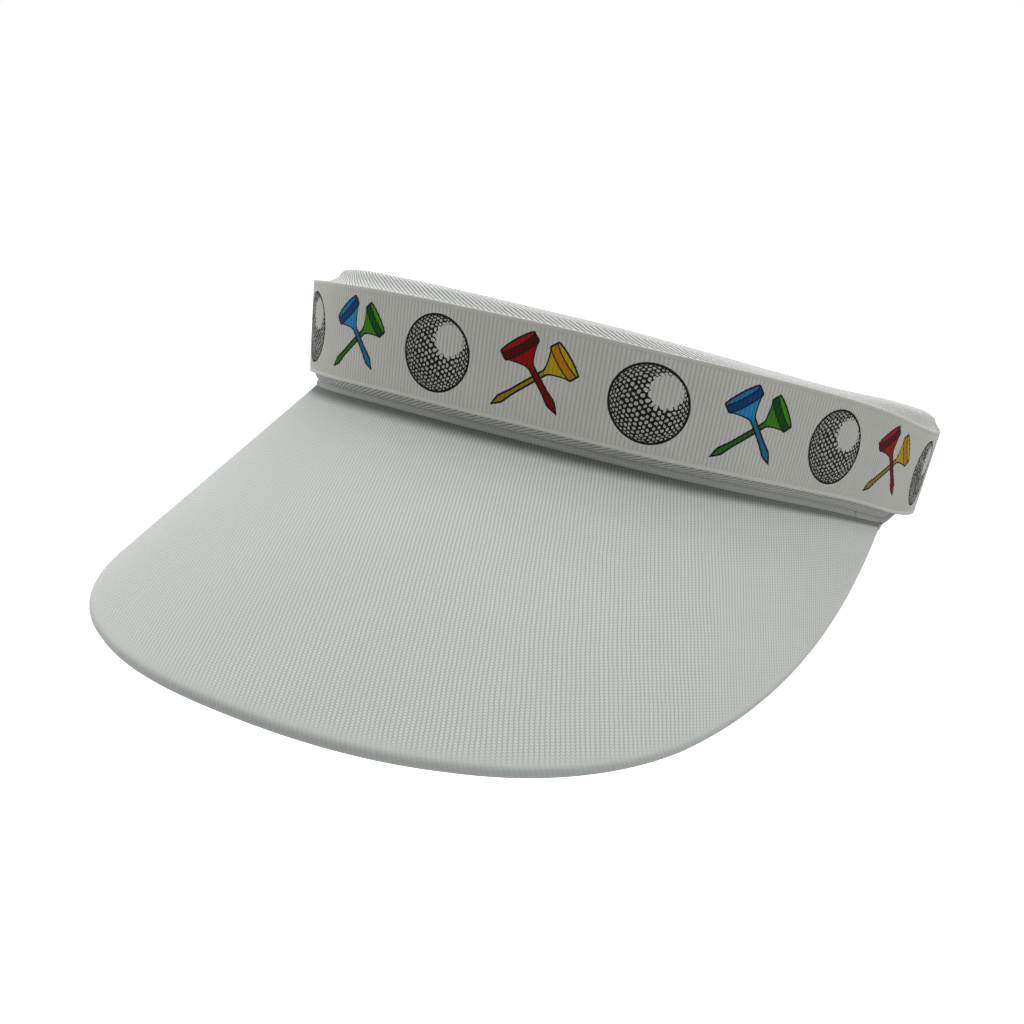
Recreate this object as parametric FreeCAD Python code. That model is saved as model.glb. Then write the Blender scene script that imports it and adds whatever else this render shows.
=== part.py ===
import FreeCAD, Part
import math
import os

# Clip-on sun visor: a sprung, padded band with a printed ribbon, and a wide curved brim sewn under it.
# Millimetres, +Z up. The brim points along -Y and +X is the wearer's left.
# The origin is the middle of the head opening: across the widest part of the band, on the middle plane,
# at half the ribbon's height as it is at the forehead.

# The band line: the ribbon's outer face seen from above, as tangent arcs from the forehead outwards.
forehead_radius = 100.0
forehead_turn = 20.5      # degrees each side of the middle
temple_radius = 51.7
temple_turn = 35.5
side_radius = 120.5
band_arch = 8.5           # how far the band line has dropped at arch_reach from the middle
arch_reach = 100.0
level_from = 116.0        # behind here the band line levels off
level_run = 60.0          # length over which it does
band_lean = 4.6           # degrees that the band opens outwards at its top

# Layers of the band, from the outside in.
ribbon_width = 22.2
ribbon_thickness = 0.5
cover_thickness = 0.7
strip_thickness = 1.0
strip_height = 18.0
foam_depth = 5.3          # behind the spring strip
lining_thickness = 1.0
bond_gap = 0.05           # glue or stitch line between two layers
seam_drop = 3.9           # from the ribbon's lower edge to the band's bottom, along the brim
arm_seam_drop = 1.2       # the same, on the arms
seam_run = 26.0           # length over which one turns into the other
seam_tuck = 0.8           # how far the cover pulls in at the bottom

# Reach along the band line, each side of the middle.
brim_reach = 122.0
arm_offset = 4.0          # from the brim's end to the flexing line
arm_length = 54.0
arm_gap = 0.3             # between the front of the band and each arm
strip_end_gap = 3.0       # the spring strip stops short of the arm's end
end_binding_thickness = 1.2

# The brim: straight rulings that leave the band's bottom edge, forwards and down.
brim_length = 84.8
brim_fullness = 2.46      # power of the brim's outline: higher is squarer
brim_end_length = 6.0     # length of the last ruling at each end
brim_slope = 30.5         # degrees below level at the middle
brim_side_slope = 47.5    # the same at the ends
brim_forward = 0.77       # 0: rulings square to the band, 1: all straight ahead
brim_seat_gap = 0.1       # stitch line between band and brim
brim_cloth_thickness = 0.5
brim_board_thickness = 1.9

flex_line_offset = 0.25   # the flexing line stands this far outside the ribbon's top edge

band_stations = 19
arm_stations = 9
brim_stations = 25

half_ribbon = ribbon_width / 2
arm_start = brim_reach + arm_offset
band_reach = arm_start + arm_length
cover_face = -(ribbon_thickness + bond_gap)
strip_face = cover_face - cover_thickness - bond_gap
foam_face = strip_face - strip_thickness - bond_gap
lining_face = foam_face - foam_depth - bond_gap
band_back = lining_face - lining_thickness
brim_thickness = brim_board_thickness + 2 * brim_cloth_thickness + 2 * bond_gap


def band_line(s):
    """Plan position and heading (radians) of the band line at arc length s from the forehead."""
    x, y, heading, left = 0.0, 0.0, 0.0, abs(s)
    arcs = ((forehead_radius, math.radians(forehead_turn)),
            (temple_radius, math.radians(temple_turn)),
            (side_radius, math.inf))
    for radius, turn in arcs:
        step = min(left / radius, turn)
        x += radius * (math.sin(heading + step) - math.sin(heading))
        y += radius * (math.cos(heading) - math.cos(heading + step))
        heading += step
        left -= step * radius
    return math.copysign(x, s), y, math.copysign(heading, s)


def widest_reach():
    """Arc length at which the band line runs straight back."""
    side_turn = math.radians(90 - forehead_turn - temple_turn)
    return (forehead_radius * math.radians(forehead_turn) + temple_radius * math.radians(temple_turn)
            + side_radius * side_turn)


forehead_y = -band_line(widest_reach())[1]


def outward(s):
    heading = band_line(s)[2]
    return FreeCAD.Vector(math.sin(heading), -math.cos(heading), 0)


def band_drop(s):
    """How far the band line has dropped at s."""
    rate = band_arch / arch_reach ** 2
    far = min(abs(s), level_from)
    past = min(abs(s) - far, level_run)
    return rate * (far ** 2 + 2 * far * (past - past ** 2 / (2 * level_run)))


def band_point(s, out, height):
    """A point of the band's section at s: out from the ribbon's face, height above its middle."""
    x, y, heading = band_line(s)
    lean = math.radians(band_lean)
    up = FreeCAD.Vector(0, 0, 1)
    face = outward(s)
    centre = FreeCAD.Vector(x, y + forehead_y, -band_drop(s))
    across = face * math.cos(lean) - up * math.sin(lean)
    along = face * math.sin(lean) + up * math.cos(lean)
    return centre + across * out + along * height


def band_bottom(s):
    past = min(max((abs(s) - brim_reach) / seam_run, 0), 1)
    ease = past * past * (3 - 2 * past)
    return -half_ribbon - seam_drop + (seam_drop - arm_seam_drop) * ease


def spread(start, end, count):
    return [start + (end - start) * i / (count - 1) for i in range(count)]


def section_wire(s, outline):
    """Closed wire at station s. A triple of points in the outline is an arc, the rest are corners."""
    edges = []
    last = None
    first = None
    for item in outline:
        if isinstance(item[0], tuple):
            ends = [band_point(s, *p) for p in item]
            if last is not None:
                edges.append(Part.makeLine(last, ends[0]))
            edges.append(Part.Arc(*ends).toShape())
            first = first or ends[0]
            last = ends[2]
        else:
            corner = band_point(s, *item)
            if last is not None:
                edges.append(Part.makeLine(last, corner))
            first = first or corner
            last = corner
    edges.append(Part.makeLine(last, first))
    return Part.Wire(edges)


def band_layer(outline_at, start, end, count):
    """Solid through one outline placed at count stations from start to end."""
    return Part.makeLoft([section_wire(s, outline_at(s)) for s in spread(start, end, count)], True, False)


def ribbon_outline(s):
    back = -ribbon_thickness
    return [(0, -half_ribbon), (0, half_ribbon), (back, half_ribbon), (back, -half_ribbon)]


def roll_arc(face, back):
    """Half round over the band's top, from the outer face to the back."""
    middle = (face + back) / 2
    radius = (face - back) / 2
    return ((face, half_ribbon), (middle, half_ribbon + radius), (back, half_ribbon))


def cover_outline(s):
    bottom = band_bottom(s)
    inside = cover_face - cover_thickness
    outer = roll_arc(cover_face, band_back)
    inner = roll_arc(inside, band_back + cover_thickness)
    return [(cover_face - seam_tuck, bottom), (cover_face, -half_ribbon), outer,
            inner[::-1], (inside, -half_ribbon), (inside - seam_tuck, bottom)]


def strip_outline(s):
    back = strip_face - strip_thickness
    half = strip_height / 2
    return [(strip_face, -half), (strip_face, half), (back, half), (back, -half)]


def foam_outline(s):
    bottom = band_bottom(s) + lining_thickness + bond_gap
    face = cover_face - cover_thickness - bond_gap
    half = strip_height / 2 + bond_gap
    back = lining_face + bond_gap
    tucked = face - seam_tuck * (bottom + half_ribbon) / (band_bottom(s) + half_ribbon)
    lower = [(tucked, bottom), (face, -half_ribbon)] if bottom < -half_ribbon else [(face, bottom)]
    return lower + [(face, -half), (foam_face, -half), (foam_face, half), (face, half),
                    roll_arc(face, back), (back, bottom)]


def lining_outline(s):
    bottom = band_bottom(s)
    top = half_ribbon - bond_gap
    shelf = bottom + lining_thickness
    front = cover_face - cover_thickness - bond_gap - seam_tuck
    return [(band_back, bottom), (band_back, top), (lining_face, top), (lining_face, shelf),
            (front, shelf), (front, bottom)]


def end_outline(s):
    bottom = band_bottom(s)
    return [(cover_face - seam_tuck, bottom), (cover_face, -half_ribbon), roll_arc(cover_face, band_back),
            (band_back, bottom)]


def brim_root(s):
    """Where the brim's top surface meets the band's bottom."""
    return band_point(s, cover_face - seam_tuck, -half_ribbon - seam_drop - brim_seat_gap)


def brim_ruling(s):
    """Unit vector along the brim's surface, forwards and down."""
    share = abs(s) / brim_reach
    slope = math.radians(brim_slope + (brim_side_slope - brim_slope) * share ** 2)
    plan = outward(s) * (1 - brim_forward) + FreeCAD.Vector(0, -1, 0) * brim_forward
    plan.normalize()
    return plan * math.cos(slope) - FreeCAD.Vector(0, 0, 1) * math.sin(slope)


def brim_normal(s):
    step = 0.5
    along = brim_root(s + step) - brim_root(s - step)
    normal = along.cross(brim_ruling(s))
    normal.normalize()
    return normal if normal.z > 0 else normal * -1


def brim_ruling_length(s):
    return brim_length * (1 - (abs(s) / brim_reach) ** brim_fullness)


def brim_end_reach():
    return brim_reach * (1 - brim_end_length / brim_length) ** (1 / brim_fullness)


def brim_layer(outline_at):
    """Solid through planar sections along the rulings: outline points are (along, depth)."""
    wires = []
    for turn in spread(-math.pi / 2, math.pi / 2, brim_stations):
        s = brim_end_reach() * math.sin(turn)
        root, ruling, normal = brim_root(s), brim_ruling(s), brim_normal(s)
        corners = [root + ruling * along - normal * depth for along, depth in outline_at(brim_ruling_length(s))]
        wires.append(Part.makePolygon(corners + corners[:1]))
    return Part.makeLoft(wires, True, False)


def brim_top_outline(length):
    inside = length - brim_cloth_thickness
    return [(0, 0), (length, 0), (length, brim_thickness), (inside, brim_thickness),
            (inside, brim_cloth_thickness), (0, brim_cloth_thickness)]


def brim_board_outline(length):
    top = brim_cloth_thickness + bond_gap
    bottom = top + brim_board_thickness
    edge = length - brim_cloth_thickness - bond_gap
    return [(0, top), (edge, top), (edge, bottom), (0, bottom)]


def brim_under_outline(length):
    top = brim_thickness - brim_cloth_thickness
    edge = length - brim_cloth_thickness - bond_gap
    return [(0, top), (edge, top), (edge, brim_thickness), (0, brim_thickness)]


band_layers = {
    "ribbon": (ribbon_outline, 0),
    "band_cover": (cover_outline, 0),
    "spring_strip": (strip_outline, strip_end_gap),
    "band_foam": (foam_outline, 0),
    "sweatband_lining": (lining_outline, 0),
}


def build():
    pieces = {}
    front_end = arm_start - arm_gap / 2
    arm_begin = arm_start + arm_gap / 2
    arm_tip = band_reach - end_binding_thickness - bond_gap
    for name, (outline_at, end_gap) in band_layers.items():
        pieces[name + "_front"] = band_layer(outline_at, -front_end, front_end, band_stations)
        for side, sign in (("left", 1), ("right", -1)):
            pieces[name + "_" + side + "_arm"] = band_layer(
                outline_at, sign * arm_begin, sign * (arm_tip - end_gap), arm_stations)
    for side, sign in (("left", 1), ("right", -1)):
        pieces["end_binding_" + side] = band_layer(
            end_outline, sign * (arm_tip + bond_gap), sign * band_reach, 2)
    pieces["brim_top_cloth"] = brim_layer(brim_top_outline)
    pieces["brim_board"] = brim_layer(brim_board_outline)
    pieces["brim_under_cloth"] = brim_layer(brim_under_outline)
    return pieces


os.makedirs("parts", exist_ok=True)
for name, shape in build().items():
    solid = shape if shape.ShapeType == "Solid" else Part.Solid(shape)
    if solid.Volume < 0:
        solid.reverse()
    if not solid.isValid():
        raise ValueError(name + " is not a valid solid")
    solid.exportStep("parts/" + name + ".step")
    print(name, round(solid.Volume), "mm3")

flex_line = band_point(arm_start, flex_line_offset, half_ribbon)
print("flexing line of the left arm at", [round(v, 2) for v in flex_line])
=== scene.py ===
import math

import bpy
import numpy as np
from mathutils import Matrix, Vector


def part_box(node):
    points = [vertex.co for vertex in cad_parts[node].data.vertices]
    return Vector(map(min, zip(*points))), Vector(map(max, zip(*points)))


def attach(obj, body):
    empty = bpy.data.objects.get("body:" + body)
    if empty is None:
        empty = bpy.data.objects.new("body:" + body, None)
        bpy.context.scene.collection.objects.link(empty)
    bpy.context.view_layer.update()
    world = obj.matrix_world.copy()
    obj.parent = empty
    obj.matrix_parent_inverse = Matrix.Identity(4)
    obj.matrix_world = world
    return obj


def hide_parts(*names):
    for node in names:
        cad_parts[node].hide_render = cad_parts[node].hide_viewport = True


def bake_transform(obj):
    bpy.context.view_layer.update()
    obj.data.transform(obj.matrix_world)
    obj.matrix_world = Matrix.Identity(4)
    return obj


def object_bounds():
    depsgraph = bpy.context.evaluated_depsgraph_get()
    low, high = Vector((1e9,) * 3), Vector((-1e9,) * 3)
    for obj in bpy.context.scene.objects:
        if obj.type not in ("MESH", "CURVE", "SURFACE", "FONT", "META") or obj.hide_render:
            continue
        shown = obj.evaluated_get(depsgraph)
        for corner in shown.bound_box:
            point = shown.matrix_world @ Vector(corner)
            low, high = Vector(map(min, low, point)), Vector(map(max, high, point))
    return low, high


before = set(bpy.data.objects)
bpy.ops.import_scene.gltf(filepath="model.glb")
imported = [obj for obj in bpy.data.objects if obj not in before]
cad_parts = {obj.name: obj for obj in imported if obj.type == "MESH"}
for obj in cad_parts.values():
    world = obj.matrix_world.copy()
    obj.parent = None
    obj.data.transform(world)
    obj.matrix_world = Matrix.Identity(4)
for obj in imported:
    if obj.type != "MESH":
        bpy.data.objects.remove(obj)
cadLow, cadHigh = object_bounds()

mm = 0.001  # every size below is in millimetres, and becomes metres when its mesh is made
print("frame loaded,", len(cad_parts), "nodes")

# the band's line seen from above: a forehead arc, a temple arc and a side arc, tangent to each other
band = {
    "foreheadRadius": 100.0,
    "foreheadTurn": 20.5,     # degrees each side of the middle
    "templeRadius": 51.7,
    "templeTurn": 35.5,
    "sideRadius": 120.5,
    "arch": 8.5,              # how far the line has dropped at archReach
    "archReach": 100.0,
    "levelFrom": 116.0,       # behind here the line levels off
    "levelRun": 60.0,
    "lean": 4.6,              # degrees, the band opens outwards at its top
    "halfRibbon": 11.1,
    "lip": 3.9,               # from the ribbon's lower edge to the band's bottom, along the brim
    "armLip": 0.3,
    "lipRun": 14.0,           # length over which one turns into the other
    "brimReach": 122.0,
    "armTip": 178.7,          # where the layers stop, inside the end binding
    "ribPitch": 0.95,         # of the grosgrain, which the pieces' ends keep to
    "bendFrom": 108.0,        # where an arm's cloth would begin and end its turn as the arm flexes; read by rideBand but not used
    "bendTo": 146.0,
}
lean = math.radians(band["lean"])
splitAt = 111 * band["ribPitch"]  # front pieces end here, in a valley between two ribs
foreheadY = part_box("ribbon_front")[0].y / mm + band["halfRibbon"] * math.sin(lean)


def bandLine(s):
    far = np.abs(s)
    radii = (band["foreheadRadius"], band["templeRadius"], band["sideRadius"])
    turns = (math.radians(band["foreheadTurn"]), math.radians(band["templeTurn"]), math.pi)
    x, y, heading = 0.0, 0.0, np.zeros_like(far)
    for radius, turn in zip(radii, turns):
        step = np.clip(far / radius, 0, turn)
        x = x + radius * (np.sin(heading + step) - np.sin(heading))
        y = y + radius * (np.cos(heading) - np.cos(heading + step))
        heading = heading + step
        far = far - step * radius
    side = np.where(s < 0, -1.0, 1.0)
    return x * side, y + foreheadY, heading * side


def bandPoint(s, out, height):
    # out from the ribbon's face, height above its middle line
    s, out, height = np.broadcast_arrays(np.asarray(s, float), out, height)
    x, y, heading = bandLine(s)
    reach = out * math.cos(lean) + height * math.sin(lean)
    rise = height * math.cos(lean) - out * math.sin(lean)
    far = np.minimum(np.abs(s), band["levelFrom"])
    past = np.minimum(np.abs(s) - far, band["levelRun"])
    drop = band["arch"] / band["archReach"] ** 2 * (far ** 2 + far * past * (2 - past / band["levelRun"]))
    return np.stack([x + np.sin(heading) * reach, y - np.cos(heading) * reach, rise - drop], -1)


def bandBottom(s):
    past = np.clip((np.abs(s) - band["brimReach"]) / band["lipRun"], 0, 1)
    ease = past * past * (3 - 2 * past)
    return -band["halfRibbon"] - band["lip"] + (band["lip"] - band["armLip"]) * ease


def drift(s, size, start):
    # slow unevenness of hand-fed cloth, the same each run
    return size * (0.6 * np.sin(s / 17.0 + start) + 0.4 * np.sin(s / 6.3 + 2.7 * start))


def sectionPath(s, corners):
    # the corners' places out and up, each a plain number or one value for each station
    return np.stack([np.stack(np.broadcast_arrays(*corner, s)[:2], -1) for corner in corners], 1)


def stations(start, end, step):
    return np.linspace(start, end, max(2, int(round(abs(end - start) / step)) + 1))


def lengthAlong(rows):
    steps = np.linalg.norm(np.diff(rows, axis=1), axis=2)
    return np.concatenate([np.zeros((len(rows), 1)), np.cumsum(steps, 1)], 1)


def smoothPath(corners, count, closed=False):
    # an even division of the curve through the corners of each station's section, and its length so far
    total = corners.shape[1]
    at = np.arange(total if closed else total - 1)
    if closed:
        before, after, beyond = (at - 1) % total, (at + 1) % total, (at + 2) % total
    else:
        before, after, beyond = np.maximum(at - 1, 0), at + 1, np.minimum(at + 2, total - 1)
    p, q, r, t = corners[:, before], corners[:, at], corners[:, after], corners[:, beyond]
    fine = []
    for u in np.arange(0, 1, 0.1):
        cubic = (3 * q - p - 3 * r + t) * u ** 3
        fine.append(0.5 * (2 * q + (r - p) * u + (2 * p - 5 * q + 4 * r - t) * u ** 2 + cubic))
    last = corners[:, :1] if closed else corners[:, -1:]
    line = np.concatenate([np.stack(fine, 2).reshape(len(corners), -1, 2), last], 1)
    length = lengthAlong(line)
    even = np.empty((len(corners), count, 3))
    for k in range(len(corners)):
        places = np.linspace(0, length[k, -1], count)
        even[k, :, 0] = np.interp(places, length[k], line[k, :, 0])
        even[k, :, 1] = np.interp(places, length[k], line[k, :, 1])
        even[k, :, 2] = places
    return even[..., 0], even[..., 1], even[..., 2]


def selectOnly(piece):
    bpy.ops.object.select_all(action="DESELECT")
    piece.select_set(True)
    bpy.context.view_layer.objects.active = piece


def gridPiece(name, points, uv, around=False, flip=False, capped=False):
    # a sheet of quads over rows and columns of points, in millimetres, with its cloth map
    rows, cols = points.shape[:2]
    spans = cols if around else cols - 1
    i, j = [a.ravel() for a in np.meshgrid(np.arange(rows - 1), np.arange(spans), indexing="ij")]
    corners = [(i, j), (i + 1, j), (i + 1, j + 1), (i, j + 1)]
    if flip:
        corners.reverse()
    faces = np.stack([a * cols + b % cols for a, b in corners], 1).tolist()
    texels = np.stack([uv[a, b] for a, b in corners], 1).reshape(-1, 2).tolist()
    if capped:
        ends = [list(range(cols))[::-1], [(rows - 1) * cols + k for k in range(cols)]]
        if flip:
            ends = [e[::-1] for e in ends]
        faces += ends
        flat = uv[:, :cols].reshape(-1, 2)
        texels += [flat[k].tolist() for e in ends for k in e]
    mesh = bpy.data.meshes.new(name)
    mesh.from_pydata((points.reshape(-1, 3) * mm).tolist(), [], faces)
    layer = mesh.uv_layers.new(name="cloth")
    layer.data.foreach_set("uv", np.array(texels, np.float32).ravel())
    piece = bpy.data.objects.new(name, mesh)
    bpy.context.scene.collection.objects.link(piece)
    mesh.shade_smooth()
    return piece


def thicken(piece, thickness, offset=-1.0):
    selectOnly(piece)
    wall = piece.modifiers.new("wall", "SOLIDIFY")
    wall.thickness = thickness * mm
    wall.offset = offset
    wall.use_quality_normals = True
    bpy.ops.object.modifier_apply(modifier="wall")


def smoothUnder(piece, angle):
    selectOnly(piece)
    bpy.ops.object.shade_smooth_by_angle(angle=math.radians(angle))


def paint(piece, material):
    piece.data.materials.clear()
    piece.data.materials.append(material)


def rideBand(piece, part):
    # part is front, left_arm or right_arm; front cloth is attached to the front body, an arm's cloth only
    # has its transform baked into its mesh, and the bend's end points found here are not used
    if part == "front":
        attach(piece, "front")
        return
    side = 1 if part == "left_arm" else -1
    start = bandPoint(side * band["bendFrom"], 0, 0) * mm
    end = bandPoint(side * band["bendTo"], 0, 0) * mm
    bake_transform(piece)


bandParts = {
    "front": ("Front", -splitAt, splitAt),
    "left_arm": ("Left", splitAt, band["armTip"]),
    "right_arm": ("Right", -band["armTip"], -splitAt),
}


# node helpers: a number or a socket may be given anywhere

def newMaterial(name, roughness=0.9):
    material = bpy.data.materials.new(name)
    material.use_nodes = True
    tree = material.node_tree
    shader = tree.nodes["Principled BSDF"]
    shader.inputs["Roughness"].default_value = roughness
    shader.inputs["Specular IOR Level"].default_value = 0.25
    return material, tree, shader


def feed(tree, socket, value):
    if isinstance(value, bpy.types.NodeSocket):
        tree.links.new(value, socket)
    else:
        socket.default_value = value


def calc(tree, operation, *values):
    node = tree.nodes.new("ShaderNodeMath")
    node.operation = operation
    for socket, value in zip(node.inputs, values):
        feed(tree, socket, value)
    return node.outputs[0]


def ramp(tree, value, low, high, start=0.0, end=1.0):
    # a smooth step from start at low to end at high
    node = tree.nodes.new("ShaderNodeMapRange")
    node.interpolation_type = "SMOOTHSTEP"
    feed(tree, node.inputs["Value"], value)
    node.inputs["From Min"].default_value = low
    node.inputs["From Max"].default_value = high
    node.inputs["To Min"].default_value = start
    node.inputs["To Max"].default_value = end
    return node.outputs[0]


def mixColour(tree, share, first, second, kind="MIX"):
    node = tree.nodes.new("ShaderNodeMix")
    node.data_type = "RGBA"
    node.blend_type = kind
    feed(tree, node.inputs[0], share)
    for socket, colour in ((node.inputs[6], first), (node.inputs[7], second)):
        feed(tree, socket, colour if isinstance(colour, bpy.types.NodeSocket) else (*colour, 1))
    return node.outputs[2]


def clothPlace(tree):
    # along and up the cloth, in millimetres
    node = tree.nodes.new("ShaderNodeUVMap")
    node.uv_map = "cloth"
    split = tree.nodes.new("ShaderNodeSeparateXYZ")
    tree.links.new(node.outputs[0], split.inputs[0])
    return split.outputs[0], split.outputs[1], node.outputs[0]


def grain(tree, place, scale, detail=2.0):
    node = tree.nodes.new("ShaderNodeTexNoise")
    node.inputs["Scale"].default_value = scale
    node.inputs["Detail"].default_value = detail
    feed(tree, node.inputs["Vector"], place)
    return node.outputs["Fac"]


def objectPlace(tree):
    return tree.nodes.new("ShaderNodeTexCoord").outputs["Object"]


def emboss(tree, shader, height, depth, strength=1.0):
    node = tree.nodes.new("ShaderNodeBump")
    node.inputs["Strength"].default_value = strength
    node.inputs["Distance"].default_value = depth * mm
    feed(tree, node.inputs["Height"], height)
    tree.links.new(node.outputs[0], shader.inputs["Normal"])


def wave(tree, place, pitch):
    # 0 in the valleys and 1 on the crests of round yarns
    turn = calc(tree, "MULTIPLY", place, math.pi / pitch)
    return calc(tree, "ABSOLUTE", calc(tree, "SINE", turn))


# the printed ribbon: balls and crossed tees, drawn by formula in millimetres on the ribbon

printing = {
    "ballAt": 38.7,          # one ball's place along the ribbon
    "spacing": 48.0,         # ball to ball, with a pair of tees between
    "stretch": (88.0, 146.0, 4.0),   # the print runs a little longer from here to here, by this
    "lowered": 0.0,          # the row stands this much under the ribbon's middle
    "ballRadius": 8.5,
    "ballWidth": 1.015,      # wider than tall by this
    "outline": 0.42,
    "ballOutline": 0.5,
    "headRim": 1.75,         # depth of a tee's rim
    "headBow": 0.78,
    "dimplePitch": 0.140,    # radians on the ball
    "dimpleRow": 0.97,       # row to row, in pitches
    "dimpleTilt": 35.0,      # degrees
    "dimpleStray": 0.14,
    "dimpleSize": (0.66, 0.315),   # radius in pitches, in the highlight and away from it
    "highlight": (3.0, 3.3),
    "frontTee": ((-5.0, 6.2), (5.5, -7.0), 4.5),   # head, tip, half width of the head
    "backTee": ((6.3, 4.9), (-9.3, -8.0), 4.1),
    "ink": (0.012, 0.012, 0.014),
    "red": ((0.45, 0.008, 0.008), (0.10, 0.004, 0.004), (0.36, 0.006, 0.005)),   # face, rim, cone
    "blue": ((0.02, 0.21, 0.53), (0.004, 0.06, 0.22), (0.025, 0.30, 0.60)),
    "yellow": ((0.64, 0.46, 0.008), (0.60, 0.25, 0.006), (0.60, 0.43, 0.01)),
    "green": ((0.069, 0.34, 0.013), (0.003, 0.075, 0.002), (0.05, 0.27, 0.008)),
}


def teeWidth(tree, along, length, half):
    # half width of a tee at each place from its head to its tip, as a drawn profile
    profile = (
        (0.0, half), (1.7, half * 1.01), (2.6, half * 0.80), (4.4, half * 0.40),
        (5.4, half * 0.235), (6.2, half * 0.18), (length - 6.0, half * 0.18),
        (length - 2.6, half * 0.235), (length - 2.0, half * 0.20), (length, 0.02),
    )
    node = tree.nodes.new("ShaderNodeFloatCurve")
    feed(tree, node.inputs["Value"], calc(tree, "DIVIDE", along, length))
    curve = node.mapping.curves[0]
    for place, width in profile[1:-1]:
        curve.points.new(place / length, width / half / 1.1)
    curve.points[0].location = (0, 1 / 1.1)
    curve.points[len(curve.points) - 1].location = (1, profile[-1][1])
    for point in curve.points:
        point.handle_type = "AUTO_CLAMPED"
    node.mapping.update()
    return calc(tree, "MULTIPLY", node.outputs[0], half * 1.1)


def drawTee(tree, x, y, colours, tee, under):
    # paints one tee over what is under it, and gives back the mix
    (headX, headY), (tipX, tipY), half = tee
    length = math.hypot(tipX - headX, tipY - headY)
    dirX, dirY = (tipX - headX) / length, (tipY - headY) / length
    fromX = calc(tree, "SUBTRACT", x, headX)
    fromY = calc(tree, "SUBTRACT", y, headY)
    along = calc(tree, "ADD", calc(tree, "MULTIPLY", fromX, dirX), calc(tree, "MULTIPLY", fromY, dirY))
    across = calc(tree, "SUBTRACT", calc(tree, "MULTIPLY", fromY, dirX), calc(tree, "MULTIPLY", fromX, dirY))
    across = calc(tree, "ABSOLUTE", across)
    share = calc(tree, "MINIMUM", calc(tree, "DIVIDE", across, half * 1.02), 1.0)
    bow = calc(tree, "SQRT", calc(tree, "SUBTRACT", 1.0, calc(tree, "MULTIPLY", share, share)))
    width = teeWidth(tree, along, length, half)
    line = printing["outline"]

    def within(edge):
        top = calc(tree, "MULTIPLY_ADD", bow, 0.75, edge)      # how far inside the head's far rim
        inTop = calc(tree, "GREATER_THAN", calc(tree, "ADD", along, top), 0.0)
        inSide = calc(tree, "LESS_THAN", across, calc(tree, "ADD", width, edge))
        inTip = calc(tree, "LESS_THAN", along, length + edge * 2)
        return calc(tree, "MULTIPLY", calc(tree, "MULTIPLY", inTop, inSide), inTip)

    whole, filled = within(0.0), within(-line)
    level = calc(tree, "SUBTRACT", along, calc(tree, "MULTIPLY", bow, printing["headBow"]))
    face, rim, cone = colours
    shaft = [c * 0.62 for c in cone]
    fill = mixColour(tree, ramp(tree, along, 4.6, 7.5), cone, shaft)
    fill = mixColour(tree, calc(tree, "LESS_THAN", level, printing["headRim"]), fill, rim)
    fill = mixColour(tree, calc(tree, "LESS_THAN", level, 0.0), fill, face)
    for place in (0.0, printing["headRim"]):
        rule = calc(tree, "COMPARE", level, place, line * 0.36)
        fill = mixColour(tree, rule, fill, printing["ink"])
    drawn = mixColour(tree, whole, under, printing["ink"])
    return mixColour(tree, filled, drawn, fill)


def drawTees(tree, x, y, front, back, under):
    drawn = drawTee(tree, x, y, printing[back], printing["backTee"], under)
    return drawTee(tree, x, y, printing[front], printing["frontTee"], drawn)


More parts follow.
